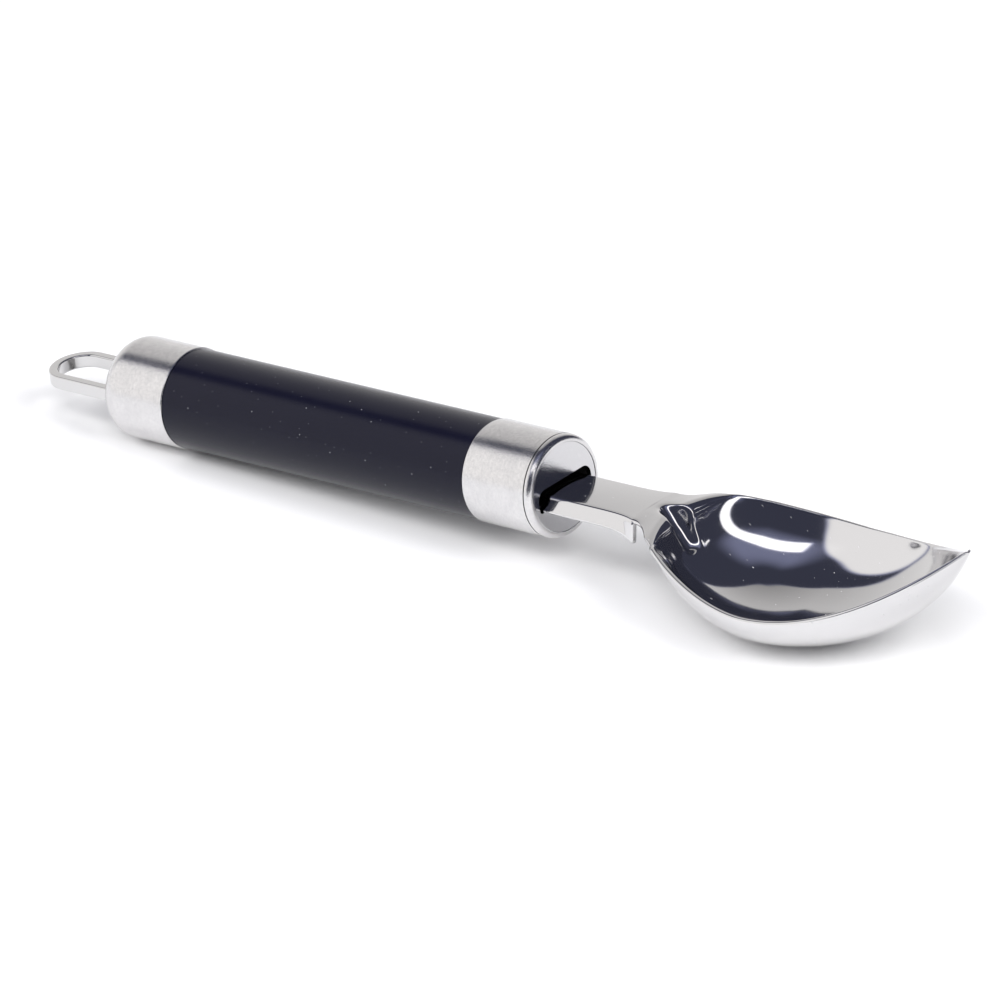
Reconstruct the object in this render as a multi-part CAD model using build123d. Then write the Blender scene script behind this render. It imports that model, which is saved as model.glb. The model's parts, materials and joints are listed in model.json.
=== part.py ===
from build123d import *
import os
from math import atan2, cos, degrees, pi, radians, sin, sqrt

# Rigid ice cream scoop: a pressed leaf-shaped steel bowl on a round, rubber-covered handle.
# Millimetres. The pieces are modelled in the handle's own frame: X runs along the handle's axis
# towards the bowl's tip, with 0 at the front ferrule's lip, and Z is up out of the bowl.
# They are then turned and moved into the resting pose: bowl and rear ferrule both on Z = 0.

# ---- driving dimensions: handle ----
handle_radius = 11.0            # outside of both ferrules
ferrule_wall = 0.7
front_ferrule_length = 18.8
rear_ferrule_length = 19.2
rear_end_round = 5.2            # large drawn radius of the rear cup
front_edge_round = 1.0
ferrule_mouth_round = 0.25      # rolled edge that meets the sleeve
lip_depth = 0.5                 # rolled-in lip that traps the front disc
lip_width = 1.5
disc_thickness = 1.0
grip_length = 85.6
grip_step = 0.25                # the sleeve is this much slimmer than the ferrules
grip_wall = 2.25
grip_edge_round = 0.2
fit_clearance = 0.05            # radial or side gap of every push fit

# ---- driving dimensions: hanging loop ----
loop_reach = 21.5               # how far the loop stands out behind the rear cup
loop_half_width = 6.95
loop_strip_thickness = 2.0
loop_strip_height = 3.0
loop_edge_round = 0.35
loop_leg_inside = 14.0
loop_pin_radius = 0.8
loop_pin_inset = 4.0            # from the end of the legs
loop_pin_length = 18.0

# ---- driving dimensions: shank and tang ----
sheet = 1.4                     # thickness of the pressed sheet
shank_crown = 0.9               # top of the arched shank above the handle's axis
shank_inside = 6.0              # length of channel inside the handle
flange_end = 24.4               # where the down-turned flanges stop
shank_slim_x = 10.0             # the shank starts to widen here
shank_flare_power = 4           # and does so mostly near the flanges' end
shank_stations = (14.0, 17.5, 20.5, 23.0)
top_half = 5.9                  # half width of the shank's top, at its corners
top_half_flared = 7.4
corner_drop = 0.35              # the shank's corners lie this far below its crown
foot_half = 7.7                 # half width across the flanges' feet
foot_half_flared = 8.2
foot_depth = 2.3                # the flanges' feet below the handle's axis
foot_depth_flared = 4.5
channel_outer_round = 1.4
channel_inner_round = 0.3
tang_length = 50.0
tang_half_width = 4.5
rivet_radius = 1.5
rivet_head_radius = 2.4
rivet_head_thickness = 1.0
rivet_head_sunk = 0.45          # the rivet heads lie this far below the core's surface
rivet_inset = 6.0               # rear rivet, from the tang's end
rivet_pitch = 16.0
hole_clearance = 0.1

# ---- driving dimensions: slot in the disc ----
slot_top_gap = 1.05
slot_side_gap = 0.5
slot_foot_gap = 0.6
slot_top_round = 2.2
slot_foot_round = 0.8

# ---- driving dimensions: neck and bowl (the inner skin of the sheet) ----
neck_edge_z = 0.1
neck_half = 7.0                 # half width of the neck where the flanges stop
corner_x = 33.1                 # shoulders' corners, where neck becomes bowl
corner_half = 12.5
flare_power = 0.95
widest_x = 64.5
bowl_half = 21.9
tip_x = 108.6
tip_half = 0.45
rear_outline_power = 1.9
rim_low_x = 64.5
rim_low_z = -6.75
tip_z = 7.5
rear_rim_power = 1.55
front_rim_power = 2.1
wall_x = 31.6                   # steep back wall, at the middle
wall_bow = 3.2                  # the wall's sides stand this much further forward
bend_radius = 2.6
keel_x = 57.6                   # deepest place of the bowl
keel_z = -18.6
keel_power = 2.5
round_reach = 9.0               # in front of the wall the sections turn from an arch to round
arch_power = 3                  # how flat the arch on the neck is in its middle
section_arc = 78.0              # a round section turns this far from keel to rim; 90 is a half ellipse
corner_blend = 2.5              # softness of the bend from the level edge to the dipping rim
front_sharpness = 0.35          # how much more pointed than an ellipse the front sections are
rim_thickness = 1.0
tip_thickness = 0.6
sunk_gap = 0.2                  # the neck's sheet starts this far inside the channel's sheet
columns = 28                    # steps across the sheet

# ---- driving dimensions: stiffening dimple across the bend from neck to wall ----
dimple_x = 26.3                 # where it starts on the neck
dimple_slope = 55.0             # its floor runs down to the wall at this angle
dimple_length = 9.6             # down the slope, to where its round end begins
dimple_half = 3.1               # half width at its usual depth
dimple_depth = 3.6
dimple_power = 2.2
dimple_edge = 0.7               # softness of its edges

# ---- driving dimensions: moulded core ----
bay_wall = 3.05                 # least core left above and below a bay
bay_length = 9.5
bay_pitch = 11.5
bay_count = 4
first_bay_rear = 2.0            # wall left between the last bay and the tang's end
peg_radius = 0.9
peg_height = 2.0
peg_inset = 1.55                # from the core's side to the pegs' centres
peg_wall = 0.8                  # between the pegs and the bays
peg_x = (-60.0, -98.0)

# ---- places that follow from them ----
grip_front = -front_ferrule_length
grip_rear = grip_front - grip_length
rear_end = grip_rear - rear_ferrule_length
ferrule_bore = handle_radius - ferrule_wall
grip_radius = handle_radius - grip_step
grip_bore = grip_radius - grip_wall
core_radius = grip_bore - fit_clearance
collar_radius = ferrule_bore - fit_clearance
rivet_head_seat = core_radius - rivet_head_sunk - rivet_head_thickness
rear_rivet_x = rivet_inset - tang_length
rivet_x = (rear_rivet_x + rivet_pitch, rear_rivet_x)
bay_height = core_radius - bay_wall
peg_y = core_radius - peg_inset
bay_half_width = peg_y - peg_radius - peg_wall
neck_top = shank_crown - sunk_gap
disc_back = -lip_depth - disc_thickness
core_front = disc_back - fit_clearance
core_end = rear_end + ferrule_wall + fit_clearance
lip_bore = handle_radius - lip_width
leg_centre = loop_half_width - loop_strip_thickness / 2
leg_end = rear_end + loop_leg_inside
pin_x = leg_end - loop_pin_inset
loop_centre_x = rear_end - loop_reach + loop_half_width


# ---- small helpers ----
def rod(x0, x1, radius):
    """Round bar along X from x0 to x1."""
    length = abs(x1 - x0)
    return Pos(X=(x0 + x1) / 2) * Rot(Y=90) * Cylinder(radius, length)


def block(x0, x1, half_width, z0, z1, centre_y=0.0):
    """Box from x0 to x1 and z0 to z1, centred on centre_y."""
    middle = Pos((x0 + x1) / 2, centre_y, (z0 + z1) / 2)
    return middle * Box(abs(x1 - x0), 2 * half_width, z1 - z0)


def rim_edges(shape, x, radius):
    """The circular edges of a turned piece at one place and radius."""
    found = shape.edges().filter_by(GeomType.CIRCLE)
    return [e for e in found if abs(e.center().X - x) < 1e-3 and abs(e.radius - radius) < 1e-3]


def soft_step(t):
    """Rises smoothly from 0 to 1 as t goes from 0 to 1."""
    t = min(1.0, max(0.0, t))
    return t * t * (3 - 2 * t)


def soft_ramp(t, blend):
    """Zero below t = 0 and t above it, with a rounded knee."""
    return (t + sqrt(t * t + blend * blend)) / 2


# ---- outline and profile of the bowl ----
def edge_half_width(x):
    """Half width of the sheet's edge: flared neck, then the leaf-shaped rim."""
    if x < flange_end:
        return neck_half - (flange_end - x) / 2
    if x < corner_x:
        t = (x - flange_end) / (corner_x - flange_end)
        return neck_half + (corner_half - neck_half) * t ** flare_power
    if x < widest_x:
        t = (widest_x - x) / (widest_x - corner_x)
        return bowl_half - (bowl_half - corner_half) * t ** rear_outline_power
    t = (x - widest_x) / (tip_x - widest_x)
    return tip_half + (bowl_half - tip_half) * (1 - t * t)


def edge_height(x):
    """Height of the sheet's edge: level neck, dipping rim, upturned tip."""
    if x < rim_low_x:
        t = max(0.0, 1 - soft_ramp(x - corner_x, corner_blend) / (rim_low_x - corner_x))
        return rim_low_z + (neck_edge_z - rim_low_z) * t ** rear_rim_power
    t = (x - rim_low_x) / (tip_x - rim_low_x)
    return rim_low_z + (tip_z - rim_low_z) * t ** front_rim_power


def keel_stations():
    """Points (x, z, roundness) down the middle of the inner skin, from the neck to the tip."""
    neck_from = flange_end - sheet
    bend_from = wall_x - bend_radius
    stations = []
    for i in range(6):
        stations.append((neck_from + (bend_from - neck_from) * i / 6, neck_top, 0.0))
    for i in range(5):
        turn = radians(90.0 * i / 5)
        x = bend_from + bend_radius * sin(turn)
        stations.append((x, neck_top - bend_radius * (1 - cos(turn)), 0.0))
    first = atan2(bend_radius - neck_top, -keel_z)
    for i in range(18):
        turn = first + (pi / 2 - first) * i / 18
        x = keel_x - (keel_x - wall_x) * cos(turn)
        stations.append((x, keel_z * sin(turn), soft_step((x - wall_x) / round_reach)))
    for i in range(19):
        t = i / 18
        x = keel_x + (tip_x - keel_x) * t
        stations.append((x, keel_z + (tip_z - keel_z) * t ** keel_power, 1.0))
    return stations


def pressed(point, under):
    """Moves a point of either skin onto the dimple, square to the dimple's sloping floor.

    The outer skin is pressed further than the inner one, and over a wider strip, by under.
    """
    slope = radians(dimple_slope)
    push = Vector(sin(slope), 0, cos(slope))
    down = Vector(cos(slope), 0, -sin(slope))
    from_start = point - Vector(dimple_x, 0, neck_top)
    beyond_end = max(0.0, down.dot(from_start) - dimple_length)
    off_middle = sqrt(point.Y ** 2 + beyond_end ** 2) / (dimple_half + under)
    above_floor = push.dot(from_start) + under - dimple_depth * off_middle ** dimple_power
    return point - push * soft_ramp(above_floor, dimple_edge)


def inner_point(station, v):
    """Point of the inner skin before the dimple is pressed: v goes across from -1 to 1."""
    x, keel, roundness = station
    bend_from = wall_x - bend_radius
    bowed = soft_step((x - flange_end) / (bend_from - flange_end)) * soft_step((keel_x - x) / (keel_x - wall_x))
    x += wall_bow * v * v * bowed
    edge_z = edge_height(x)
    turn = radians(section_arc)
    across = (1 - roundness) * v + roundness * sin(turn * v) / sin(turn)
    sharpness = front_sharpness * soft_step((x - keel_x) / (tip_x - keel_x) * 2)
    round_fall = max(0.0, (cos(turn * v) - cos(turn)) / (1 - cos(turn))) ** (1 + sharpness)
    fall = (1 - roundness) * (1 - abs(v) ** arch_power) + roundness * round_fall
    y = edge_half_width(x) * across
    return Vector(x, y, edge_z + (keel - edge_z) * fall)


def sheet_thickness(x, v):
    """The sheet is ground thinner at the rim and at the tip."""
    rim = soft_step((x - corner_x) / bend_radius) * abs(v) ** 4
    tip = max(0.0, (x - keel_x) / (tip_x - keel_x)) ** 6
    full = sheet - 2 * sunk_gap * (1 - soft_step((x - flange_end) / bend_radius))
    worked = full - (full - rim_thickness) * rim
    return worked - (worked - tip_thickness) * tip


def skins(stations, across):
    """Grids of points of the inner and the outer skin of the neck and bowl."""
    inner = [[inner_point(s, v) for v in across] for s in stations]
    outer = []
    last_row = len(stations) - 1
    last_col = len(across) - 1
    for i, row in enumerate(inner):
        outer_row = []
        for j, point in enumerate(row):
            along = inner[min(i + 1, last_row)][j] - inner[max(i - 1, 0)][j]
            side = inner[i][min(j + 1, last_col)] - inner[i][max(j - 1, 0)]
            normal = along.cross(side).normalized()
            outer_row.append(point - normal * sheet_thickness(point.X, across[j]))
        outer.append([pressed(point, sheet) for point in outer_row])
    inner = [[pressed(point, 0) for point in row] for row in inner]
    return inner, outer


def skin_face(rows, across):
    """Smooth face through rows of points that lie at the same places across the sheet."""
    curves = [Edge.make_spline(row, parameters=across) for row in rows]
    return Shell.make_loft([Wire([curve]) for curve in curves]).faces()[0]


def border(face):
    """The four edges of a skin: start, tip and the two sides."""
    along = face.edges().sort_by(Axis.X)
    side = face.edges().sort_by(Axis.Y)
    return [along[0], along[-1], side[0], side[-1]]


def bowl_and_neck():
    """The pressed sheet from the flanges' end to the tip."""
    steps = [-1 + 2 * j / columns for j in range(columns + 1)]
    across = [u * (0.6 + 0.4 * u * u) for u in steps]
    inner, outer = skins(keel_stations(), across)
    top = skin_face(inner, across)
    under = skin_face(outer, across)
    pairs = zip(border(top), border(under))
    walls = [Face.make_surface_from_curves(upper, lower) for upper, lower in pairs]
    return Solid(Shell([top, under] + walls))


# ---- shank and tang ----
def channel_section(x):
    """Section of the shank: an arched top with two down-turned flanges."""
    flare = max(0.0, (x - shank_slim_x) / (flange_end - shank_slim_x)) ** shank_flare_power
    corner_half_width = top_half + (top_half_flared - top_half) * flare
    feet_half_width = foot_half + (foot_half_flared - foot_half) * flare
    feet_z = -foot_depth - (foot_depth_flared - foot_depth) * flare
    corner_z = shank_crown - corner_drop
    outer = [
        Line((-feet_half_width, feet_z), (-corner_half_width, corner_z)),
        ThreePointArc((-corner_half_width, corner_z), (0, shank_crown), (corner_half_width, corner_z)),
        Line((corner_half_width, corner_z), (feet_half_width, feet_z)),
    ]
    in_half = corner_half_width - sheet
    in_feet = feet_half_width - sheet
    inner = [
        Line((feet_half_width, feet_z), (in_feet, feet_z)),
        Line((in_feet, feet_z), (in_half, corner_z - sheet)),
        ThreePointArc((in_half, corner_z - sheet), (0, shank_crown - sheet), (-in_half, corner_z - sheet)),
        Line((-in_half, corner_z - sheet), (-in_feet, feet_z)),
        Line((-in_feet, feet_z), (-feet_half_width, feet_z)),
    ]
    section = make_face(outer + inner)
    corners = section.vertices()
    outside = [p for p in corners if abs(p.Y - corner_z) < 1e-6]
    section = fillet(outside, channel_outer_round)
    inside = [p for p in section.vertices() if abs(p.Y - corner_z + sheet) < 1e-6]
    section = fillet(inside, channel_inner_round)
    return Plane(origin=(x, 0, 0), x_dir=(0, 1, 0), z_dir=(1, 0, 0)) * section


def shank():
    """The channel between the handle and the neck."""
    straight = (-shank_inside, 0.0, shank_slim_x / 2, shank_slim_x)
    stations = straight + shank_stations + (flange_end,)
    sections = [channel_section(x) for x in stations]
    return loft(sections)


def tang():
    """Flat strip that the core clamps, with two rivet holes."""
    strip = block(-tang_length, -shank_inside + sheet, tang_half_width, -sheet / 2, sheet / 2)
    for x in rivet_x:
        strip -= Pos(X=x) * Cylinder(rivet_radius + hole_clearance, 4 * sheet)
    return strip


def make_scoop_head():
    return (shank() + tang()) + bowl_and_neck()


# ---- handle ----
def make_front_disc():
    """End disc with the arched slot for the shank."""
    disc = rod(disc_back, -lip_depth, ferrule_bore - fit_clearance)
    slot_top = shank_crown + slot_top_gap
    slot_foot = -foot_depth - slot_foot_gap
    slot = block(disc_back - 1, 1, foot_half + slot_side_gap, slot_foot, slot_top)
    corners = slot.edges().filter_by(Axis.X).sort_by(Axis.Z)
    slot = fillet(corners[2:], slot_top_round)
    corners = slot.edges().filter_by(Axis.X).sort_by(Axis.Z)
    return disc - fillet(corners[:2], slot_foot_round)


def make_front_ferrule():
    """Tube with a rolled-in lip in front of the disc."""
    tube = rod(grip_front, 0, handle_radius)
    tube = fillet(rim_edges(tube, 0, handle_radius), front_edge_round)
    tube = fillet(rim_edges(tube, grip_front, handle_radius), ferrule_mouth_round)
    tube -= rod(grip_front - 1, -lip_depth, ferrule_bore)
    return tube - rod(-lip_depth - 1, 1, lip_bore)


def make_rear_ferrule():
    """Drawn cup with two slots for the loop's legs."""
    cup = rod(rear_end, grip_rear, handle_radius)
    cup = fillet(rim_edges(cup, rear_end, handle_radius), rear_end_round)
    cup = fillet(rim_edges(cup, grip_rear, handle_radius), ferrule_mouth_round)
    floor = rear_end + ferrule_wall
    hollow = rod(floor, grip_rear + 1, ferrule_bore)
    hollow = fillet(rim_edges(hollow, floor, ferrule_bore), rear_end_round - ferrule_wall)
    cup -= hollow
    half = loop_strip_thickness / 2 + hole_clearance
    tall = loop_strip_height / 2 + hole_clearance
    for side in (-1, 1):
        cup -= block(rear_end - 1, rear_end + rear_end_round, half, -tall, tall, side * leg_centre)
    return cup


def make_grip_sleeve():
    """Soft sleeve between the two ferrules."""
    sleeve = rod(grip_rear, grip_front, grip_radius)
    for x in (grip_rear, grip_front):
        sleeve = fillet(rim_edges(sleeve, x, grip_radius), grip_edge_round)
    return sleeve - rod(grip_rear - 1, grip_front + 1, grip_bore)


def make_hanging_loop():
    """U-bent strip with a cross hole through both legs."""
    outer = Circle(loop_half_width)
    inner = Circle(loop_half_width - loop_strip_thickness)
    leg_length = leg_end - loop_centre_x
    shift = Pos(X=leg_length / 2)
    outer += shift * Rectangle(leg_length, 2 * loop_half_width)
    inner += shift * Rectangle(leg_length, 2 * (loop_half_width - loop_strip_thickness))
    strip = extrude(outer - inner, loop_strip_height / 2, both=True)
    strip = fillet(strip.faces().filter_by(Axis.Z).edges(), loop_edge_round)
    strip = Pos(X=loop_centre_x) * strip
    return strip - Pos(X=pin_x) * Rot(X=90) * Cylinder(loop_pin_radius + fit_clearance, 3 * loop_half_width)


def make_loop_pin():
    return Pos(X=pin_x) * Rot(X=90) * Cylinder(loop_pin_radius, loop_pin_length)


def make_rivet(x):
    """Rivet with a flat head at each end, through both core halves and the tang."""
    rivet = Cylinder(rivet_radius, 2 * rivet_head_seat)
    head_z = rivet_head_seat + rivet_head_thickness / 2
    for side in (-1, 1):
        rivet += Pos(Z=side * head_z) * Cylinder(rivet_head_radius, rivet_head_thickness)
    return Pos(X=x) * rivet


# ---- core ----
def core_body():
    """Turned outside of the core: slim under the sleeve, with a collar inside each ferrule."""
    body = rod(grip_rear, core_front, core_radius)
    body += rod(grip_front, core_front, collar_radius)
    rear = rod(core_end, grip_rear, collar_radius)
    end_round = rear_end_round - ferrule_wall - fit_clearance
    return body + fillet(rim_edges(rear, core_end, collar_radius), end_round)


def core_bays():
    """Cored-out bays behind the tang, with a rib between each two."""
    first = -tang_length - first_bay_rear
    bays = []
    for i in range(bay_count):
        front = first - i * bay_pitch
        bays.append(block(front - bay_length, front, bay_half_width, -bay_height, bay_height))
    return bays


def core_beds():
    """What the two halves leave free for the shank, tang, rivets, loop legs and pin."""
    gap = fit_clearance
    shank_rear = -shank_inside - gap
    pocket_half = foot_half + slot_side_gap
    beds = [block(shank_rear, 0, pocket_half, -foot_depth - slot_foot_gap, shank_crown + slot_top_gap)]
    tang_bed = (-tang_length - gap, shank_rear + 1, tang_half_width + gap, -sheet / 2 - gap, sheet / 2 + gap)
    beds.append(block(*tang_bed))
    for x in rivet_x:
        beds.append(Pos(X=x) * Cylinder(rivet_radius + gap, 2 * handle_radius))
        for side in (-1, 1):
            seat = Pos(x, 0, side * (rivet_head_seat + handle_radius / 2))
            beds.append(seat * Cylinder(rivet_head_radius + gap, handle_radius))
    half = loop_strip_thickness / 2 + gap
    tall = loop_strip_height / 2 + gap
    for side in (-1, 1):
        beds.append(block(core_end - 1, leg_end + gap, half, -tall, tall, side * leg_centre))
    beds.append(Pos(X=pin_x) * Rot(X=90) * Cylinder(loop_pin_radius + gap, 3 * handle_radius))
    return beds


def make_core(side):
    """Upper half (side 1), which carries the locating pegs, or lower half (side -1)."""
    core = core_body()
    for space in core_beds() + core_bays():
        core -= space
    far = 2 * handle_radius
    if side > 0:
        core -= block(rear_end - far, far, far, -far, 0)
    else:
        core -= block(rear_end - far, far, far, 0, far)
    for x in peg_x:
        for y in (-peg_y, peg_y):
            if side > 0:
                core += Pos(x, y, 0) * Cylinder(peg_radius, 2 * peg_height)
            else:
                hole_depth = peg_height + hole_clearance
                core -= Pos(x, y, 0) * Cylinder(peg_radius + fit_clearance, 2 * hole_depth)
    return core


# ---- resting pose ----
def lowest(shape, angle):
    return (Rot(Y=-angle) * shape).bounding_box().min.Z


def resting_angle(head, rear):
    """Angle at which the bowl and the rear ferrule touch one level surface."""
    angle = 0.0
    for _ in range(6):
        rise = lowest(rear, angle) - lowest(head, angle)
        angle += degrees(atan2(rise, keel_x - rear_end - rear_end_round))
    return angle


def main():
    os.makedirs("parts", exist_ok=True)
    pieces = {
        "scoop_head": make_scoop_head(),
        "front_disc": make_front_disc(),
        "front_ferrule": make_front_ferrule(),
        "grip_sleeve": make_grip_sleeve(),
        "rear_ferrule": make_rear_ferrule(),
        "hanging_loop": make_hanging_loop(),
        "loop_pin": make_loop_pin(),
        "core_upper": make_core(1),
        "core_lower": make_core(-1),
        "front_tang_rivet": make_rivet(rivet_x[0]),
        "rear_tang_rivet": make_rivet(rivet_x[1]),
    }
    angle = resting_angle(pieces["scoop_head"], pieces["rear_ferrule"])
    turned = {name: Rot(Y=-angle) * piece for name, piece in pieces.items()}
    boxes = [piece.bounding_box() for piece in turned.values()]
    low_x = min(box.min.X for box in boxes)
    high_x = max(box.max.X for box in boxes)
    low_z = min(box.min.Z for box in boxes)
    rest = Pos(-(low_x + high_x) / 2, 0, -low_z)
    for name, piece in turned.items():
        export_step(rest * piece, "parts/" + name + ".step")
    print("resting angle", round(angle, 3), "length", round(high_x - low_x, 2))
    print("centre of the lip", rest.position)


if __name__ == "__main__":
    main()
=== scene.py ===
# %% [markdown]
# # A rigid ice cream scoop
# The scoop lies on a table, on the bottom of its bowl and on the end of its handle. Its solids come
# from the CAD model, already in their places. This lesson gives them their looks: polished and
# brushed stainless steel, a soft-touch grip, and a studio that steel can reflect. We load the solids
# first, because every later step takes its sizes and places from them.

# %% Load the solids
import json
from math import atan2, cos, pi, radians, sin, sqrt

import bpy
from mathutils import Matrix, Vector


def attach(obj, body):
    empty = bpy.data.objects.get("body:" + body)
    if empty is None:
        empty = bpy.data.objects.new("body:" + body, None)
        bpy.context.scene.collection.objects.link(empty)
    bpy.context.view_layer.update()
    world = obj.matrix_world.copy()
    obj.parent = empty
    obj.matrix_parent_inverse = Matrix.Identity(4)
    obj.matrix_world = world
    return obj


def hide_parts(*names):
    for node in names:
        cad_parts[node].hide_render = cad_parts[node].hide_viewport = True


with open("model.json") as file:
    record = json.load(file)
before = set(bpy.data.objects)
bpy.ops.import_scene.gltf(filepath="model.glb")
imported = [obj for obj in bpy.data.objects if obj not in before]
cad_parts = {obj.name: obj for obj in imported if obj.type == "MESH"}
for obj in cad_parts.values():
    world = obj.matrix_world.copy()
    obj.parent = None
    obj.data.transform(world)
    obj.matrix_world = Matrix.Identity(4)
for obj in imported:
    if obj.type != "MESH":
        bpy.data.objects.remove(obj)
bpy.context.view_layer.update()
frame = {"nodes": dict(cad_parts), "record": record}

nodes = frame["nodes"]
print("solids:", ", ".join(sorted(nodes)))

# %% [markdown]
# ## Where the handle is
# The handle doesn't lie level: it rises a little towards the bowl. Everything on it is easiest to
# describe in its own frame, with X along its axis and 0 at the front lip. The model's record holds
# the grip as a mount, with a point on the axis and the axis's direction, so we read those and turn
# them into one matrix. It takes millimetres in the handle's frame to metres in the scene.

# %% The handle's frame
MM = 0.001
FRONT_FERRULE = 18.8
GRIP_LENGTH = 85.6

grip = next(m for m in frame["record"]["mounts"] if m["name"] == "grip")
axis = Vector(grip["axis"]).normalized()
lip_centre = Vector(grip["pos_m"]) + axis * (FRONT_FERRULE + GRIP_LENGTH / 2) * MM
side = Vector((0, 1, 0))
upward = axis.cross(side)
handle = Matrix((
    (axis.x, side.x, upward.x, lip_centre.x),
    (axis.y, side.y, upward.y, lip_centre.y),
    (axis.z, side.z, upward.z, lip_centre.z),
    (0, 0, 0, 1),
)) @ Matrix.Scale(MM, 4)
tilt = atan2(axis.z, axis.x)
print("handle rises", round(tilt * 180 / pi, 2), "degrees")
print("centre of its front lip", tuple(round(c, 5) for c in lip_centre))

# %% [markdown]
# ## Shader maths as Python
# A procedural material is arithmetic on sockets. Adding every Math node by hand hides the idea, so a
# small class wraps one output socket and overloads Python's operators: `1 - mask * 0.3` then builds
# two Math nodes by itself. A second class starts a material and has one method that adds any other
# node: its settings first, then its inputs.

# %% Sockets that can be added and multiplied
class Signal:
    """One number that varies over a surface: an output socket of a node tree."""

    def __init__(self, tree, socket):
        self.tree = tree
        self.socket = socket

    def math(self, operation, *values):
        node = self.tree.nodes.new("ShaderNodeMath")
        node.operation = operation
        for place, value in zip(node.inputs, values):
            connect(self.tree, value, place)
        return Signal(self.tree, node.outputs[0])

    def __add__(self, other):
        return self.math("ADD", self, other)

    def __sub__(self, other):
        return self.math("SUBTRACT", self, other)

    def __rsub__(self, other):
        return self.math("SUBTRACT", other, self)

    def __mul__(self, other):
        return self.math("MULTIPLY", self, other)

    def __truediv__(self, other):
        return self.math("DIVIDE", self, other)

    def __pow__(self, other):
        return self.math("POWER", self, other)

    def __gt__(self, other):
        return self.math("GREATER_THAN", self, other)

    __radd__ = __add__
    __rmul__ = __mul__

    def ramp(self, low, high):
        """Rises smoothly from 0 at low to 1 at high."""
        node = self.tree.nodes.new("ShaderNodeMapRange")
        node.interpolation_type = "SMOOTHSTEP"
        connect(self.tree, self, node.inputs["Value"])
        node.inputs["From Min"].default_value = low
        node.inputs["From Max"].default_value = high
        return Signal(self.tree, node.outputs["Result"])


def connect(tree, value, place):
    """Puts a number or a colour on a socket, or links a signal or another output to it."""
    if isinstance(value, Signal):
        tree.links.new(value.socket, place)
    elif isinstance(value, bpy.types.NodeSocket):
        tree.links.new(value, place)
    else:
        place.default_value = value


class Finish:
    """A material whose shader is a Principled BSDF."""

    def __init__(self, name):
        self.material = bpy.data.materials.new(name)
        self.material.use_nodes = True
        self.tree = self.material.node_tree
        self.shader = self.tree.nodes["Principled BSDF"]

    def node(self, kind, settings=None, values=None):
        """Adds a node: its settings first, then the values or links of its sockets."""
        new = self.tree.nodes.new("ShaderNode" + kind)
        for key, value in (settings or {}).items():
            setattr(new, key, value)
        for key, value in (values or {}).items():
            connect(self.tree, value, new.inputs[key])
        return new

    def signal(self, node, output=0):
        return Signal(self.tree, node.outputs[output])

    def mix(self, factor, first, second):
        """A colour between two others."""
        node = self.node("Mix", {"data_type": "RGBA"})
        connect(self.tree, factor, node.inputs[0])
        connect(self.tree, first, node.inputs[6])
        connect(self.tree, second, node.inputs[7])
        return node.outputs[2]

    def set(self, **values):
        """Sets the shader's sockets: Base_Color=..., Roughness=..."""
        for key, value in values.items():
            connect(self.tree, value, self.shader.inputs[key.replace("_", " ")])

    def bump(self, height):
        """Tilts the surface by a height in millimetres."""
        node = self.node("Bump", values={"Height": height, "Distance": MM})
        connect(self.tree, node.outputs["Normal"], self.shader.inputs["Normal"])

    def use(self, thing):
        """Gives this finish to a whole object."""
        thing.data.materials.clear()
        thing.data.materials.append(self.material)
        for face in thing.data.polygons:
            face.material_index = 0


print("Signal and Finish are ready")

# %% [markdown]
# ## Places on the surface
# Scratches, brushing and dust need coordinates that belong to the object. We take object coordinates
# in metres, turn them into the handle's frame, and scale them to millimetres, so every noise below has
# a size that can be checked against the real thing. Around the handle the useful coordinate is the
# angle: brushed rings then become noise that changes fast along the axis and slowly around it. Dust
# is a flat pattern of cells with a speck in some of them. Each finish lays that pattern on its surface
# in its own way, unrolled round the grip and slanting through the head.

# %% Coordinates in the handle's frame
def handle_place(finish):
    """Three signals in millimetres, x along the handle, and the vector that holds them."""
    coordinates = finish.node("TexCoord")
    moved = finish.node("Mapping", {"vector_type": "TEXTURE"}, {
        "Vector": coordinates.outputs["Object"],
        "Location": lip_centre,
        "Rotation": (0, -tilt, 0),
        "Scale": (MM, MM, MM),
    })
    split = finish.node("SeparateXYZ", values={0: moved.outputs[0]})
    x, y, z = (finish.signal(split, i) for i in range(3))
    return x, y, z, moved.outputs[0]


def noise(finish, vector, scale, detail=2.0, roughness=0.5):
    """Cloudy noise from 0 to 1."""
    node = finish.node("TexNoise", values={
        "Vector": vector, "Scale": scale, "Detail": detail, "Roughness": roughness})
    return finish.signal(node)


def angle_round(y, z):
    """Angle round the handle's axis in radians, 0 at the top."""
    return y.math("ARCTAN2", y, z)


def combine(finish, x, y, z):
    """A vector of three signals or numbers."""
    return finish.node("CombineXYZ", values={0: x, 1: y, 2: z}).outputs[0]


def dust(finish, vector, spacing, radius, share):
    """Round specks: 1 on a speck and 0 elsewhere. Only a share of the pattern's cells gets one."""
    cells = finish.node("TexVoronoi", {"voronoi_dimensions": "2D"}, {"Vector": vector, "Scale": 1 / spacing})
    chance = finish.node("SeparateColor", values={0: cells.outputs["Color"]})
    near = 1 - finish.signal(cells, "Distance").ramp(radius / spacing * 0.5, radius / spacing)
    return near * (finish.signal(chance) > 1 - share)


print("coordinates, noise and dust are ready")

# %% [markdown]
# ## Polished steel
# The bowl, the shank and the loop are buffed to a mirror. A perfect mirror looks like glass balls from
# the first days of ray tracing, so the finish has what buffing leaves: fine hair scratches that change
# the roughness a little, a faint waviness from the press, and a few specks of dust. Where the neck is
# pressed into a dimple, the stretched sheet is wavier, so the waviness grows near that place.

# %% Polished steel
STRETCHED_X, STRETCHED_Z = 31.0, -3.5


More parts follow.
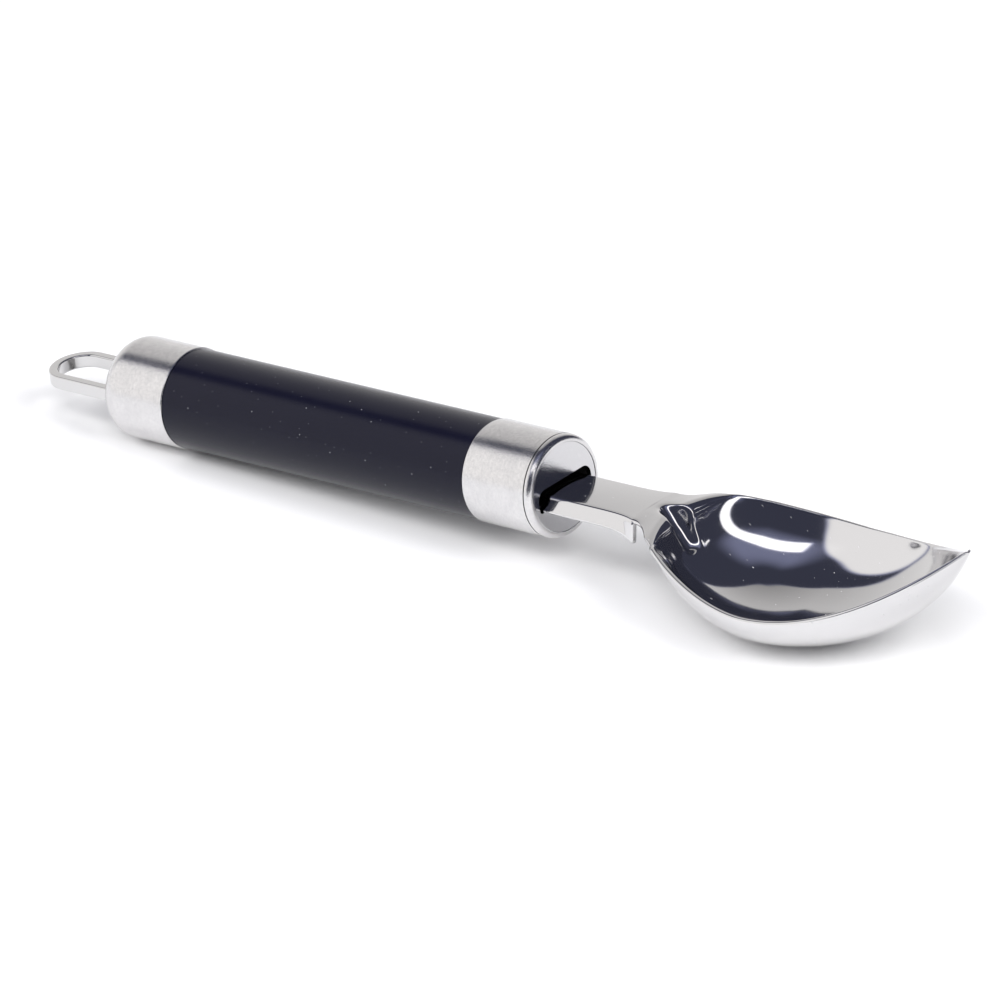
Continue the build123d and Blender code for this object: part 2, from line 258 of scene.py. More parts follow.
def polished_steel(name, base, dusty):
    """Buffed steel; dusty is how strongly specks of dust show on it."""
    finish = Finish(name)
    x, y, z, place = handle_place(finish)
    lengthwise = combine(finish, x * 0.25, y * 6.0, z * 6.0)
    hairs = noise(finish, lengthwise, 1.6, 4.0, 0.6)
    clouds = noise(finish, place, 0.09, 2.0)
    slanted = combine(finish, x + z * 0.7, y + z * 0.4, 0.0)
    specks = (dust(finish, slanted, 3.0, 0.15, 0.10) + dust(finish, slanted, 1.9, 0.10, 0.10) * 0.6) * dusty
    ahead, above = x - STRETCHED_X, z - STRETCHED_Z
    distance = (ahead * ahead + y * y + above * above) ** 0.5
    stretched_sheet = (1 - distance.ramp(4.0, 9.0)) * noise(finish, place, 0.24, 1.0)
    colour = finish.mix(specks, (*base, 1), (0.86, 0.86, 0.88, 1))
    finish.set(
        Base_Color=colour,
        Metallic=1 - specks,
        Roughness=0.05 + clouds * 0.03 + hairs * 0.025 + specks * 0.4,
    )
    finish.bump(hairs * 0.0006 + noise(finish, place, 0.16, 1.0) * 0.02 + stretched_sheet * 0.22)
    return finish


head_steel = polished_steel("polished steel", (0.64, 0.635, 0.64), 0.55)
loop_steel = polished_steel("polished loop steel", (0.64, 0.635, 0.635), 0.0)
print("polished steel is ready")

# %% [markdown]
# ## Brushed steel
# The two ferrules were turned against an abrasive belt, so their scratches run round the handle. Noise
# that changes five times in a millimetre along the axis, and only slowly round it, gives the rings. A
# coarser grain lies over it. Both tilt the surface a little and move the roughness, which makes the
# edges of reflections grainy. The end disc has the same grain without the rings, and is smoother.

# %% Brushed steel
def brushed_steel(name, base, ringed, roughness):
    """Brushed steel; ringed is 1 for scratches round the handle and 0 for none."""
    finish = Finish(name)
    x, y, z, place = handle_place(finish)
    rings = noise(finish, combine(finish, x * 5.0, angle_round(y, z) * 2.2, 0.0), 1.0, 5.0, 0.75) * ringed
    grain = noise(finish, place, 1.5, 4.0, 0.8)
    clouds = noise(finish, place, 0.30, 3.0)
    shade = (rings - 0.5) * 1.2 + (grain - 0.5) * 2.4 + (clouds - 0.5) * 0.8 + 0.5
    red, green, blue = base
    finish.set(
        Base_Color=finish.mix(shade, (red * 0.83, green * 0.83, blue * 0.84, 1), (*base, 1)),
        Metallic=1.0,
        Roughness=roughness + rings * 0.06 + grain * 0.07 + clouds * 0.04,
    )
    finish.bump(rings * 0.018 + grain * 0.03)
    return finish


ferrule_steel = brushed_steel("brushed steel", (0.72, 0.71, 0.71), 1.0, 0.12)
disc_steel = brushed_steel("satin disc steel", (0.70, 0.695, 0.70), 0.0, 0.06)
ferrule_steel.use(nodes["rear_ferrule"])
print("brushed steel is on the rear ferrule")

# %% [markdown]
# ## Soft-touch grip
# The sleeve is black rubber with a soft-touch skin: nearly black with a cool tint, half matt, with a
# very fine grain, slow changes of gloss where hands have been, and light dust that such a skin holds.

# %% Soft-touch grip
GRIP_RADIUS = 10.75

soft_grip = Finish("soft-touch rubber")
x, y, z, place = handle_place(soft_grip)
grain = noise(soft_grip, place, 7.0, 3.0, 0.65)
wear = noise(soft_grip, place, 0.12, 3.0)
unrolled = combine(soft_grip, x, angle_round(y, z) * GRIP_RADIUS, 0.0)
lint = dust(soft_grip, unrolled, 4.6, 0.17, 0.20)
lint_fine = dust(soft_grip, unrolled, 2.6, 0.11, 0.20)
specks = lint * 0.55 + lint_fine * 0.32
dark = soft_grip.mix(wear, (0.0036, 0.0037, 0.0120, 1), (0.0048, 0.0050, 0.0140, 1))
soft_grip.set(
    Base_Color=soft_grip.mix(specks, dark, (0.35, 0.36, 0.38, 1)),
    Roughness=0.17 + grain * 0.05 + wear * 0.05 + specks * 0.3,
    IOR=1.28,
)
soft_grip.bump(grain * 0.012 + specks * 0.01)
soft_grip.use(nodes["grip_sleeve"])
print("soft touch is on the grip")

# %% [markdown]
# ## Black core and hidden pieces
# Through the slot in the end disc one sees the moulded core of the handle: matt black, with a faint
# cloudiness. The rivets and the loop's pin are inside it and get the brushed steel, so that they look
# right when somebody takes the handle apart. The loop at the far end is polished.

# %% Black core and hidden pieces
core_black = Finish("black moulding")
*_, place = handle_place(core_black)
blackness = noise(core_black, place, 0.8)
core_black.set(
    Base_Color=core_black.mix(blackness, (0.004, 0.004, 0.004, 1), (0.008, 0.008, 0.008, 1)),
    Roughness=0.55 + noise(core_black, place, 2.0) * 0.15,
)
for name in ("core_upper", "core_lower"):
    core_black.use(nodes[name])
for name in ("front_tang_rivet", "rear_tang_rivet", "loop_pin"):
    ferrule_steel.use(nodes[name])
loop_steel.use(nodes["hanging_loop"])
print("core, rivets, pin and loop have their finishes")

# %% [markdown]
# ## The front rim
# The end of the front ferrule is what the eye meets first, so its rim gets finer geometry than the
# solid has: a thin groove and a generous round. A turned part is one profile, given as pairs of a
# place along the axis and a radius, that is swept round the axis. The groove is a strip of faces of
# its own, so it can have the black finish: painted shade, a dark line where the steel is only shaded.

# %% Turning a profile
TURN_STEPS = 192
PROFILE_CREASE = radians(35)


def add(name, data):
    """Makes an object and puts it in the scene."""
    thing = bpy.data.objects.new(name, data)
    bpy.context.scene.collection.objects.link(thing)
    return thing


def turned(name, profile):
    """Mesh of a closed profile [(x, radius), ...] turned round the handle's axis."""
    points, faces = [], []
    for x, radius in profile:
        for k in range(TURN_STEPS):
            turn = 2 * pi * k / TURN_STEPS
            points.append(handle @ Vector((x, radius * sin(turn), radius * cos(turn))))
    count = len(profile)
    for i in range(count):
        for k in range(TURN_STEPS):
            a, b = i * TURN_STEPS, ((i + 1) % count) * TURN_STEPS
            after = (k + 1) % TURN_STEPS
            faces.append([a + k, a + after, b + after, b + k])
    mesh = bpy.data.meshes.new(name)
    mesh.from_pydata(points, [], faces)
    mesh.validate()
    mesh.shade_smooth()
    mesh.set_sharp_from_angle(angle=PROFILE_CREASE)
    return mesh


def arc(x, radius, size, first, last, steps):
    """Points of a round with its centre at (x, radius); 0 degrees points outward, 90 to the front."""
    turns = [radians(first + (last - first) * i / steps) for i in range(steps + 1)]
    return [(x + size * sin(t), radius + size * cos(t)) for t in turns]


print("profiles can be turned")

# %% Front ferrule
OUTSIDE = 11.0
BORE = 10.3
MOUTH_ROUND = 0.25
RIM_ROUND = 1.35
GROOVE_X = -1.75
GROOVE_DEPTH = 0.15
LIP_BORE = 9.5
LIP_DEPTH = 0.5
LIP_EDGE, LIP_BEVEL = 0.04, 0.03

profile = [(-FRONT_FERRULE, BORE), (-FRONT_FERRULE, OUTSIDE - MOUTH_ROUND)]
profile += arc(-FRONT_FERRULE + MOUTH_ROUND, OUTSIDE - MOUTH_ROUND, MOUTH_ROUND, -90, 0, 6)[1:]
profile += [(x, OUTSIDE) for x in (-15.0, -11.0, -7.0, -3.0)]
painted_groove_from = len(profile)
profile += arc(GROOVE_X, OUTSIDE, GROOVE_DEPTH, -90, -270, 8)
painted_groove_to = len(profile)
profile += arc(-RIM_ROUND, OUTSIDE - RIM_ROUND, RIM_ROUND, 0, 90, 16)
profile += [(-LIP_EDGE, LIP_BORE + LIP_BEVEL), (-2 * LIP_EDGE, LIP_BORE)]
profile += [(-LIP_DEPTH, LIP_BORE), (-LIP_DEPTH, BORE)]

front_rim = add("front_ferrule_rim", turned("front rim", profile))
ferrule_steel.use(front_rim)
# Painted shade: the groove's faces take the black moulding, a dark line for the shade in the groove.
front_rim.data.materials.append(core_black.material)
for face in front_rim.data.polygons:
    if painted_groove_from <= face.vertices[0] // TURN_STEPS < painted_groove_to - 1:
        face.material_index = 1
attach(front_rim, "root")
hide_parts("front_ferrule")
print("front ferrule:", len(front_rim.data.polygons), "faces")

# %% [markdown]
# ## The end disc
# The solid's disc is trapped behind the lip, a little larger than the hole in it. Here it lies in that
# hole instead, nearly flush with the lip. A copy of its mesh is moved forward, and the points of its
# outer edge are drawn in until they clear the lip.

# %% End disc
CREASE = radians(30)
DISC_EDGE_FROM = 10.0
DISC_GAP = 0.03
DISC_FORWARD = 0.38

flush_disc = add("flush_disc", nodes["front_disc"].data.copy())
for vertex in flush_disc.data.vertices:
    own = handle.inverted() @ vertex.co
    radius = sqrt(own.y ** 2 + own.z ** 2)
    if radius > DISC_EDGE_FROM:
        own.y *= (LIP_BORE - DISC_GAP) / radius
        own.z *= (LIP_BORE - DISC_GAP) / radius
    own.x += DISC_FORWARD
    vertex.co = handle @ own
flush_disc.data.shade_smooth()
flush_disc.data.set_sharp_from_angle(angle=CREASE)
disc_steel.use(flush_disc)
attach(flush_disc, "root")
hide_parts("front_disc")
print("disc lies", round(LIP_DEPTH - DISC_FORWARD, 2), "mm behind the lip")

# %% [markdown]
# ## The head: outline and profile
# The head is one sheet, pressed into a leaf-shaped bowl, a flared neck and a channel-shaped shank. Its
# CAD solid has the right sizes, but mirror steel shows every facet, so we build the sheet again as a
# fine grid from the same formulas. First come the half width of the sheet and the height of its edge,
# both along the axis, in millimetres.

# %% Half width and edge height along the axis
SHEET = 1.4
EDGE_ROUND = 0.32
FLANGE_END = 24.4
NECK_HALF = 7.0
NECK_EDGE_Z = 0.1
CORNER_X = 33.1
CORNER_HALF = 12.5
CORNER_BLEND = 2.5
WIDEST_X = 64.5
BOWL_HALF = 21.9
RIM_LOW_X = 64.5
RIM_LOW_Z = -6.75
TIP_X = 108.6
TIP_HALF = 0.45
TIP_Z = 7.5
NECK_OUTLINE_POWER = 0.95
REAR_OUTLINE_POWER = 1.9
REAR_RIM_POWER = 1.55
FRONT_RIM_POWER = 2.1


def smooth(t):
    """Rises smoothly from 0 to 1 as t goes from 0 to 1."""
    t = min(1.0, max(0.0, t))
    return t * t * (3 - 2 * t)


def knee(t, blend):
    """Zero below t = 0 and t above it, with a rounded knee."""
    return (t + sqrt(t * t + blend * blend)) / 2


def edge_half_width(x):
    """Half width of the sheet: flared neck, bowl up to its widest place, then a parabola to the tip."""
    if x < FLANGE_END:
        return NECK_HALF
    if x < CORNER_X:
        t = (x - FLANGE_END) / (CORNER_X - FLANGE_END)
        return NECK_HALF + (CORNER_HALF - NECK_HALF) * t ** NECK_OUTLINE_POWER
    if x < WIDEST_X:
        t = (WIDEST_X - x) / (WIDEST_X - CORNER_X)
        return BOWL_HALF - (BOWL_HALF - CORNER_HALF) * t ** REAR_OUTLINE_POWER
    t = (x - WIDEST_X) / (TIP_X - WIDEST_X)
    return TIP_HALF + (BOWL_HALF - TIP_HALF) * (1 - t * t)


def edge_height(x):
    """Height of the sheet's edge: level on the neck, dipping along the bowl, and up again to the tip."""
    if x < RIM_LOW_X:
        t = max(0.0, 1 - knee(x - CORNER_X, CORNER_BLEND) / (RIM_LOW_X - CORNER_X))
        return RIM_LOW_Z + (NECK_EDGE_Z - RIM_LOW_Z) * t ** REAR_RIM_POWER
    t = (x - RIM_LOW_X) / (TIP_X - RIM_LOW_X)
    return RIM_LOW_Z + (TIP_Z - RIM_LOW_Z) * t ** FRONT_RIM_POWER


print("rim is", 2 * edge_half_width(WIDEST_X), "mm wide inside")

# %% [markdown]
# ## The head: a section at every station
# A station is a place along the keel, the lowest line of the sheet. From the neck the keel bends down
# the steep back wall, runs along the bottom and rises to the tip. Across each station the section
# changes from a flat arch on the neck to a round one in the bowl.

# %% Stations of the keel
NECK_TOP = 0.7
WALL_X = 31.6
BEND_RADIUS = 2.6
BEND_FROM = WALL_X - BEND_RADIUS
KEEL_X = 57.6
KEEL_Z = -18.6
KEEL_POWER = 2.5
ROUND_REACH = 9.0
NECK_STEPS, BEND_STEPS, WALL_STEPS, BOTTOM_STEPS = 28, 18, 70, 80


def keel_stations():
    """Points (x, z, roundness) down the middle of the inner skin, from the neck to the tip."""
    stations = []
    for i in range(1, NECK_STEPS):
        stations.append((FLANGE_END + (BEND_FROM - FLANGE_END) * i / NECK_STEPS, NECK_TOP, 0.0))
    for i in range(BEND_STEPS):
        turn = radians(90.0 * i / BEND_STEPS)
        x = BEND_FROM + BEND_RADIUS * sin(turn)
        stations.append((x, NECK_TOP - BEND_RADIUS * (1 - cos(turn)), 0.0))
    first = atan2(BEND_RADIUS - NECK_TOP, -KEEL_Z)
    for i in range(WALL_STEPS):
        turn = first + (pi / 2 - first) * i / WALL_STEPS
        x = KEEL_X - (KEEL_X - WALL_X) * cos(turn)
        stations.append((x, KEEL_Z * sin(turn), smooth((x - WALL_X) / ROUND_REACH)))
    for i in range(BOTTOM_STEPS + 1):
        x = KEEL_X + (TIP_X - EDGE_ROUND - KEEL_X) * i / BOTTOM_STEPS
        rise = ((x - KEEL_X) / (TIP_X - KEEL_X)) ** KEEL_POWER
        stations.append((x, KEEL_Z + (TIP_Z - KEEL_Z) * rise, 1.0))
    return stations


print(len(keel_stations()), "stations from the neck to the tip")

# %% A point of the inner skin
WALL_BOW = 3.2
ARCH_POWER = 3
SECTION_ARC = radians(78)
FRONT_SHARPNESS = 0.35


def bowl_point(station, v):
    """Point of the inner skin: v goes across the sheet from -1 to 1."""
    x, keel, roundness = station
    bowed = smooth((x - FLANGE_END) / (BEND_FROM - FLANGE_END)) * smooth((KEEL_X - x) / (KEEL_X - WALL_X))
    x += WALL_BOW * v * v * bowed
    sharp = FRONT_SHARPNESS * smooth((x - KEEL_X) / (TIP_X - KEEL_X) * 2)
    across = (1 - roundness) * v + roundness * sin(SECTION_ARC * v) / sin(SECTION_ARC)
    round_fall = max(0.0, (cos(SECTION_ARC * v) - cos(SECTION_ARC)) / (1 - cos(SECTION_ARC))) ** (1 + sharp)
    fall = (1 - roundness) * (1 - abs(v) ** ARCH_POWER) + roundness * round_fall
    y = (edge_half_width(x) - EDGE_ROUND) * across
    return Vector((x, y, edge_height(x) + (keel - edge_height(x)) * fall))


deepest = bowl_point((KEEL_X, KEEL_Z, 1.0), 0.0)
print("the bowl is", round(edge_height(KEEL_X) - deepest.z, 2), "mm deep under its rim")

# %% [markdown]
# ## The head: the stiffening dimple
# Where the neck bends down into the wall, a dimple is pressed across the bend, so that the bend can't
# open. Its floor is a steep ramp from the neck to the wall, and its lower end is round. A press moves
# metal square to that ramp, and so do we: every point that stands above the dimple's surface is moved
# down onto it, and a square root rounds the dimple's edge a little. The lower skin is pressed further
# and wider, by the sheet's thickness.

# %% Pressing the dimple
DIMPLE_X = 26.3
DIMPLE_SLOPE = radians(55)
DIMPLE_LENGTH = 9.6
DIMPLE_HALF = 3.1
DIMPLE_DEPTH = 3.6
DIMPLE_POWER = 2.2
DIMPLE_EDGE = 0.7


def pressed(point, under):
    """The point after pressing; under is its depth in the sheet."""
    push = Vector((sin(DIMPLE_SLOPE), 0, cos(DIMPLE_SLOPE)))
    down = Vector((cos(DIMPLE_SLOPE), 0, -sin(DIMPLE_SLOPE)))
    start = Vector((DIMPLE_X, 0, NECK_TOP))
    beyond_end = max(0.0, down.dot(point - start) - DIMPLE_LENGTH)
    off_middle = sqrt(point.y ** 2 + beyond_end ** 2) / (DIMPLE_HALF + under)
    above_floor = push.dot(point - start) + under - DIMPLE_DEPTH * off_middle ** DIMPLE_POWER
    return point - push * knee(above_floor, DIMPLE_EDGE)


print("dimple is", round(NECK_TOP - pressed(Vector((30, 0, NECK_TOP)), 0).z, 2), "mm deep at 30 mm")

# %% [markdown]
# ## The head: the shank's channel
# Between the handle and the neck the sheet's edges are turned down into two flanges, which stiffen it.
# The flanges stop before the neck. All rows of the grid have the same columns: foot, flange, rounded
# corner, top, and the same again on the other side. Beyond the flanges' end the outer columns are left
# out, and the corner's middle becomes the edge of the neck.

# %% Columns across the top
FINE_STEP, COARSE_STEP = 0.012, 0.028
FINE_FROM, FINE_TO = 0.09, 0.28
STEPS_TO = 0.98


def top_places():
    """Shares of the half width at which the columns lie: close together at the dimple's sides."""
    places = [0.0]
    while places[-1] < STEPS_TO:
        fine = FINE_FROM < places[-1] < FINE_TO
        places.append(places[-1] + (FINE_STEP if fine else COARSE_STEP))
    return places[:-1] + [1.0]


print(len(top_places()), "columns from the middle of the top to its corner")

# %% Sections of the channel
FLARE_FROM = 10.0
FLARE_POWER = 4
TOP_HALF, TOP_HALF_FLARED = 5.9, 7.4
FOOT_HALF, FOOT_HALF_FLARED = 7.7, 8.2
FOOT_DEPTH, FOOT_DEPTH_FLARED = 2.3, 4.5
CROWN = 0.9
CORNER_DROP = 0.35
CHANNEL_ROUND = 1.4
ARC_STEPS = 10
FLANGE_STEPS = 8


def channel_row(x):
    """Points across the channel, from one foot to the other."""
    flare = max(0.0, (x - FLARE_FROM) / (FLANGE_END - FLARE_FROM)) ** FLARE_POWER
    corner = TOP_HALF + (TOP_HALF_FLARED - TOP_HALF) * flare
    foot_y = FOOT_HALF + (FOOT_HALF_FLARED - FOOT_HALF) * flare
    foot_z = -FOOT_DEPTH - (FOOT_DEPTH_FLARED - FOOT_DEPTH) * flare + EDGE_ROUND
    corner_z = CROWN - CORNER_DROP
    slope_in = atan2(2 * CORNER_DROP, corner)
    slope_out = atan2(corner_z - foot_z, foot_y - corner)
    reach = CHANNEL_ROUND * sin((slope_out - slope_in) / 2) / cos((slope_out - slope_in) / 2)
    start_y = corner - reach * cos(slope_in)
    start_z = corner_z + reach * sin(slope_in)
    centre_y = start_y - CHANNEL_ROUND * sin(slope_in)
    centre_z = start_z - CHANNEL_ROUND * cos(slope_in)
    half = [(start_y * place, CROWN - (CROWN - start_z) * place ** 2) for place in top_places()]
    for i in range(1, ARC_STEPS + 1):
        turn = slope_in + (slope_out - slope_in) * i / ARC_STEPS
        half.append((centre_y + CHANNEL_ROUND * sin(turn), centre_z + CHANNEL_ROUND * cos(turn)))
    end_y, end_z = half[-1]
    for i in range(1, FLANGE_STEPS + 1):
        t = i / FLANGE_STEPS
        half.append((end_y + (foot_y - end_y) * t, end_z + (foot_z - end_z) * t))
    left = [Vector((x, -y, z)) for y, z in reversed(half[1:])]
    return left + [Vector((x, y, z)) for y, z in half]


EDGE_COLUMN = FLANGE_STEPS + ARC_STEPS // 2
print(len(channel_row(0.0)), "columns across the sheet")

# %% [markdown]
# ## The head: one grid, two skins
# Now the rows are laid one behind the other. The neck's rows grow out of the channel's last row over a
# few millimetres, so the top surface has no step. The lower skin is the upper one moved along its own
# normal by the sheet's thickness, which is less at the ground rim. Places left out of the grid have no
# cells. Every cell side without a neighbour gets a rounded edge strip, so light runs along the rim as
# on real steel.

# %% Rows of the upper skin
SHANK_X = (-6, -4, -2, 0, 2, 4, 6, 8, 10, 11.5, 13, 14.5, 16, 17.5, 18.8, 20, 21, 21.8, 22.5, 23.1, 23.6,
           24.0, FLANGE_END)
BLEND_LENGTH = 4.0


def upper_rows():
    """Rows of the upper skin from inside the handle to the tip, and how many are on the shank."""
    shank = [channel_row(x) for x in SHANK_X]
    last = shank[-1]
    top = last[EDGE_COLUMN:len(last) - EDGE_COLUMN]
    half = top[-1].y
    rows = list(shank)
    for station in keel_stations():
        blend = smooth((station[0] - FLANGE_END) / BLEND_LENGTH)
        row = []
        for point in top:
            target = bowl_point(station, point.y / half)
            start = Vector((target.x, point.y, point.z))
            row.append(start.lerp(target, blend))
        rows.append([None] * EDGE_COLUMN + row + [None] * EDGE_COLUMN)
    return rows, len(shank)


rows, shank_rows = upper_rows()
print(len(rows), "rows,", shank_rows, "of them on the shank")

# %% Two skins of the sheet
RIM_THICKNESS = 1.0
TIP_THICKNESS = 0.6


def thickness(x, v):
    """Thickness of the sheet: less at the ground rim, and least at the tip."""
    rim = smooth((x - CORNER_X) / BEND_RADIUS) * abs(v) ** 4
    tip = max(0.0, (x - KEEL_X) / (TIP_X - KEEL_X)) ** 6
    worked = SHEET - (SHEET - RIM_THICKNESS) * rim
    return worked - (worked - TIP_THICKNESS) * tip


def sheet_skins():
    """Points of both skins, and for each place (i, j) of the grid its upper and lower point and normal."""
    columns = len(rows[0])
    points, upper, lower, normals = [], {}, {}, {}
    for i, row in enumerate(rows):
        for j, point in enumerate(row):
            if point is not None:
                upper[i, j] = len(points)
                points.append(point)

    def at(i, j, default):
        return points[upper[i, j]] if (i, j) in upper else default

    for (i, j), index in upper.items():
        here = points[index]
        along = at(i + 1, j, here) - at(i - 1, j, here)
        across = at(i, j + 1, here) - at(i, j - 1, here)
        normals[i, j] = along.cross(across).normalized()
        v = (j - EDGE_COLUMN) / (columns - 1 - 2 * EDGE_COLUMN) * 2 - 1
        below = here - normals[i, j] * thickness(here.x, v if i >= shank_rows else 0.0)
        lower[i, j] = len(points)
        points.append(pressed(below, SHEET) if i >= shank_rows else below)
    for (i, j), index in upper.items():
        if i >= shank_rows:
            points[index] = pressed(points[index], 0)
    return points, upper, lower, normals


print("sheet is", SHEET, "mm thick, and", round(thickness(WIDEST_X, 1.0), 2), "mm at the rim")

# %% Faces of the skins, and the border between them
def skin_faces(upper, lower):
    """Faces of both skins, and the directed cell sides (a, b) that have no neighbour."""
    faces, border = [], {}
    for i in range(len(rows) - 1):
        for j in range(len(rows[0]) - 1):
            cell = [(i, j), (i + 1, j), (i + 1, j + 1), (i, j + 1)]
            if not all(corner in upper for corner in cell):
                continue
            faces.append([upper[corner] for corner in cell])
            faces.append([lower[corner] for corner in reversed(cell)])
            for a, b in zip(cell, cell[1:] + cell[:1]):
                if (b, a) in border:
                    del border[b, a]
                else:
                    border[a, b] = True
    return faces, list(border)


print((len(rows) - 1) * (len(rows[0]) - 1), "cells at most in each skin")

# %% Rounded edge and the whole head
EDGE_STEPS = 6


def edge_rings(points, upper, lower, normals, border):
    """Adds the round edge's points at every corner of the border, and returns them corner by corner."""
    outward = {}
    for a, b in border:
        run = points[upper[b]] - points[upper[a]]
        for corner in (a, b):
            out = run.cross(normals[corner]).normalized()
            outward[corner] = outward.get(corner, Vector()) + out
    rings = {}
    for corner, out in outward.items():
        high, low = points[upper[corner]], points[lower[corner]]
        middle, half = (high + low) / 2, (high - low) / 2
        ring = [upper[corner]]
        for k in range(1, EDGE_STEPS):
            turn = pi * k / EDGE_STEPS
            ring.append(len(points))
            points.append(middle + half * cos(turn) + out.normalized() * EDGE_ROUND * sin(turn))
        rings[corner] = ring + [lower[corner]]
    return rings


def head_mesh(name):
    """Mesh of the whole sheet: two skins and the rounded edge between them."""
    points, upper, lower, normals = sheet_skins()
    faces, border = skin_faces(upper, lower)
    rings = edge_rings(points, upper, lower, normals, border)
    for a, b in border:
        for k in range(EDGE_STEPS):
            faces.append([rings[b][k], rings[a][k], rings[a][k + 1], rings[b][k + 1]])
    mesh = bpy.data.meshes.new(name)
    mesh.from_pydata([handle @ p for p in points], [], faces)
    mesh.validate()
    mesh.shade_smooth()
    return mesh


head = add("polished_head", head_mesh("polished head"))
head_steel.use(head)
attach(head, "root")
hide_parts("scoop_head")
print("head:", len(head.data.vertices), "points,", len(head.data.polygons), "faces")

# %% [markdown]
# ## Smooth shading of the solids
# The solids come as fine triangles. Smooth shading hides the facets, but an edge between a flat face
# and a round one has to stay crisp, so edges sharper than 30 degrees are marked sharp.

# %% Smooth shading
for node in nodes.values():
    node.data.shade_smooth()
    node.data.set_sharp_from_angle(angle=CREASE)
print("smooth shading is on", len(nodes), "solids")

# %% [markdown]
# ## The studio: floor
# The scoop lies on a white sweep. The floor is a large pale sheet, kept apart from the scoop's body.

# %% Floor
floor_mesh = bpy.data.meshes.new("floor")
floor_mesh.from_pydata([(-4, -4, 0), (4, -4, 0), (4, 4, 0), (-4, 4, 0)], [], [(0, 1, 2, 3)])
floor = add("floor", floor_mesh)
paper = Finish("white sweep")
place = paper.node("TexCoord").outputs["Object"]
paper.set(
    Base_Color=paper.mix(noise(paper, place, 3.0), (0.88, 0.88, 0.88, 1), (0.90, 0.90, 0.90, 1)),
    Roughness=0.9,
    Specular_IOR_Level=0.0,
)
paper.use(floor)
print("floor is in place")

# %% [markdown]
# ## The studio: what the steel sees
# Polished steel has hardly any colour of its own: it shows the room. So the room is painted as a
# function of direction in the world shader, with azimuth and elevation in degrees. A reflector card
# stands far behind the scoop and a brighter one to its left, with a narrow dark gap between them. A
# strip light hangs in front in an arch, a thin one lies to its right, and the rest is a dark studio with
# some haze over the arch. A card is a superellipse: the sum of two powers stays below 1 inside it. A
# band is where an offset's square stays small. Cards and strips are neutral, and the dark is bluish.

# %% Room
world = bpy.data.worlds.new("studio")
bpy.context.scene.world = world
world.use_nodes = True


class Room(Finish):
    """The same node helper, for the world's node tree."""

    def __init__(self, tree):
        self.tree = tree


room = Room(world.node_tree)
split = room.node("SeparateXYZ", values={0: room.node("TexCoord").outputs["Generated"]})
dx, dy, dz = (room.signal(split, i) for i in range(3))
azimuth = dy.math("ARCTAN2", dy, dx) * (180 / pi)
elevation = dz.math("ARCSINE", dz) * (180 / pi)


def card(centre, half_width, top, squareness):
    """1 on a card that stands on the horizon, and 0 off it."""
    across = (azimuth - centre) / half_width
    upright = elevation / top
    return 1 - ((across * across) ** squareness + (upright * upright) ** squareness).ramp(0.86, 1.14)


def band(offset, full, none):
    """1 where the offset's square is below full, and 0 where it is above none."""
    return 1 - (offset * offset).ramp(full, none)


print("cards and bands are ready")

# %% Cards, strip lights and haze
near_horizon = 1 - elevation.ramp(10, 45)
far_card = card(near_horizon * 4 + 130, near_horizon * 4 + 42, 75, 2.2)
left_card = card(-139, 40, 51, 1.6)

arch_side = (azimuth + 70) / 60
arch_rise = (elevation - 5) / 48
arch = (arch_side * arch_side + arch_rise * arch_rise - 1) / (0.14 + elevation * 0.0022)
high_strip = band(arch, 0.7, 1.25) * azimuth.ramp(-99, -95) * elevation.ramp(4, 9)
low_strip = band((elevation - 30) / 1.4, 0.6, 1.5) * azimuth.ramp(17, 20) * (1 - azimuth.ramp(28, 33))
haze = band((elevation - 58) / 25, 0.0, 1.0) * azimuth.ramp(-130, -95) * (1 - azimuth.ramp(-25, 25))

dark_room = 0.055 + haze * 0.20
lights = high_strip * 1.5 + low_strip * 1.3
cards = far_card * (0.80 - elevation * 0.0070) + left_card * 0.92
lit = (far_card + left_card + high_strip + low_strip).ramp(0.0, 1.0)
tint = room.mix(lit, (0.78, 0.83, 1.27, 1), (1.0, 0.985, 0.98, 1))
background = world.node_tree.nodes["Background"]
connect(world.node_tree, tint, background.inputs["Color"])
connect(world.node_tree, (dark_room + lights + cards) * 1.2, background.inputs["Strength"])
print("the room has", len(world.node_tree.nodes), "nodes")

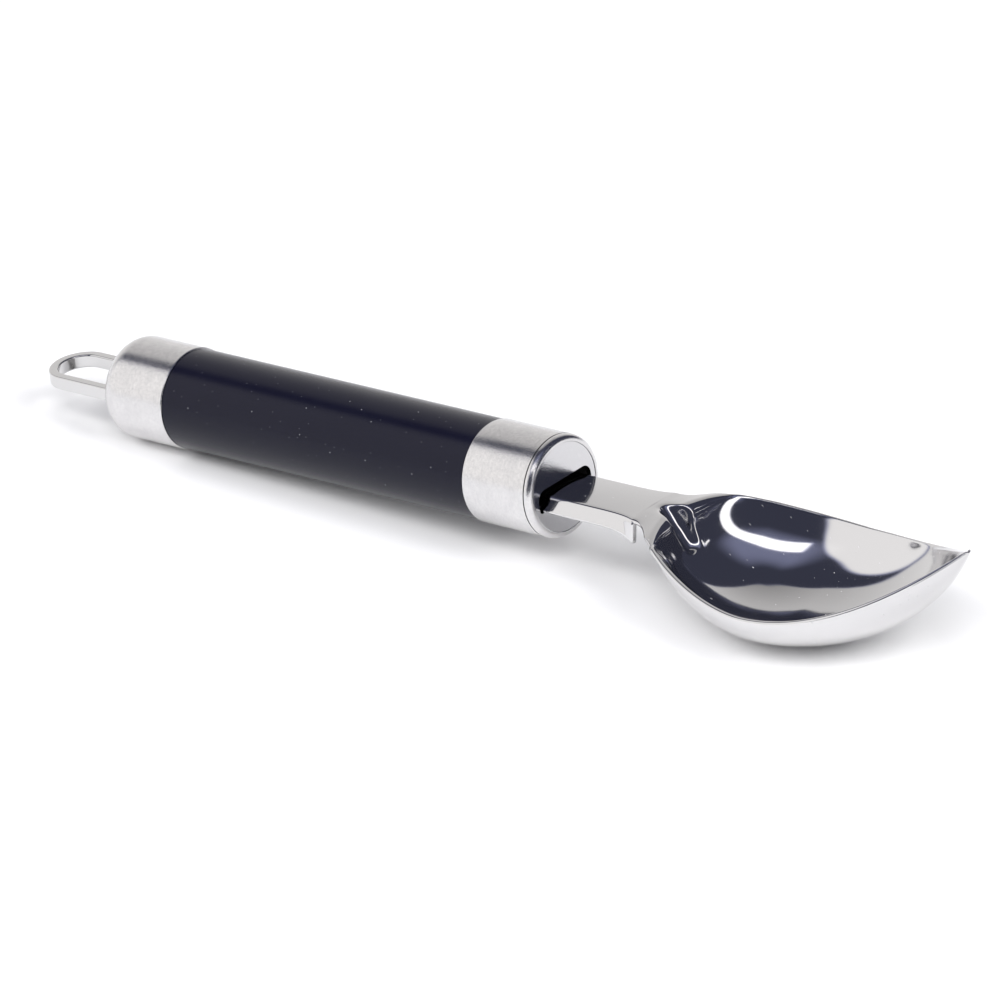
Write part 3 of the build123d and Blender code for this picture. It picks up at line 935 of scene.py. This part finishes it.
# %% [markdown]
# ## The studio: light on the floor
# The painted room lights the scoop, but the floor has to come out white with one soft shadow under the
# scoop. Four wide lamps do that: most of the light comes from the right and from the front, and a
# little from overhead and from the left. They are hidden from reflections, so the steel keeps its dark
# ceiling.

# %% Lamps
def lamp(name, place, size, energy):
    """A round lamp aimed at the scoop, which lights it but isn't seen in the steel."""
    data = bpy.data.lights.new(name, "AREA")
    data.shape = "DISK"
    data.size = size
    data.energy = energy
    new = add(name, data)
    new.location = place
    new.rotation_euler = (-Vector(place)).to_track_quat("-Z", "Y").to_euler()
    new.visible_glossy = False


lamp("overhead", (0.0, 0.0, 1.8), 0.8, 3.0)
lamp("right", (1.6, 0.0, 1.2), 1.2, 30.0)
lamp("front right", (1.0, -1.3, 1.5), 1.2, 26.0)
lamp("front left", (-1.1, -1.1, 1.3), 1.2, 8.0)
print("four lamps light the floor")

# %% [markdown]
# ## The camera
# A long lens from the front right, a little above the scoop. The camera is placed by azimuth,
# elevation and roll round a point of the object, which is easier to reason about than raw coordinates.

# %% Camera
AZIMUTH, ELEVATION, ROLL = radians(44.08), radians(26.53), radians(-6.66)
TARGET = Vector((0.000877, -0.001685, 0.010353))
DISTANCE = 2.29756
LENS = 400.29

back = Vector((sin(AZIMUTH) * cos(ELEVATION), -cos(AZIMUTH) * cos(ELEVATION), sin(ELEVATION)))
level_right = Vector((cos(AZIMUTH), sin(AZIMUTH), 0))
level_up = back.cross(level_right)
right = level_right * cos(ROLL) + level_up * sin(ROLL)
up = level_up * cos(ROLL) - level_right * sin(ROLL)
spot = TARGET + back * DISTANCE
camera = add("camera", bpy.data.cameras.new("camera"))
camera.matrix_world = Matrix((
    (right.x, up.x, back.x, spot.x),
    (right.y, up.y, back.y, spot.y),
    (right.z, up.z, back.z, spot.z),
    (0, 0, 0, 1),
))
camera.data.lens = LENS
camera.data.sensor_width = 36.0
camera.data.clip_end = 20.0
bpy.context.scene.camera = camera
bpy.context.scene.view_settings.view_transform = "Standard"
print("camera at", tuple(round(c, 4) for c in spot))
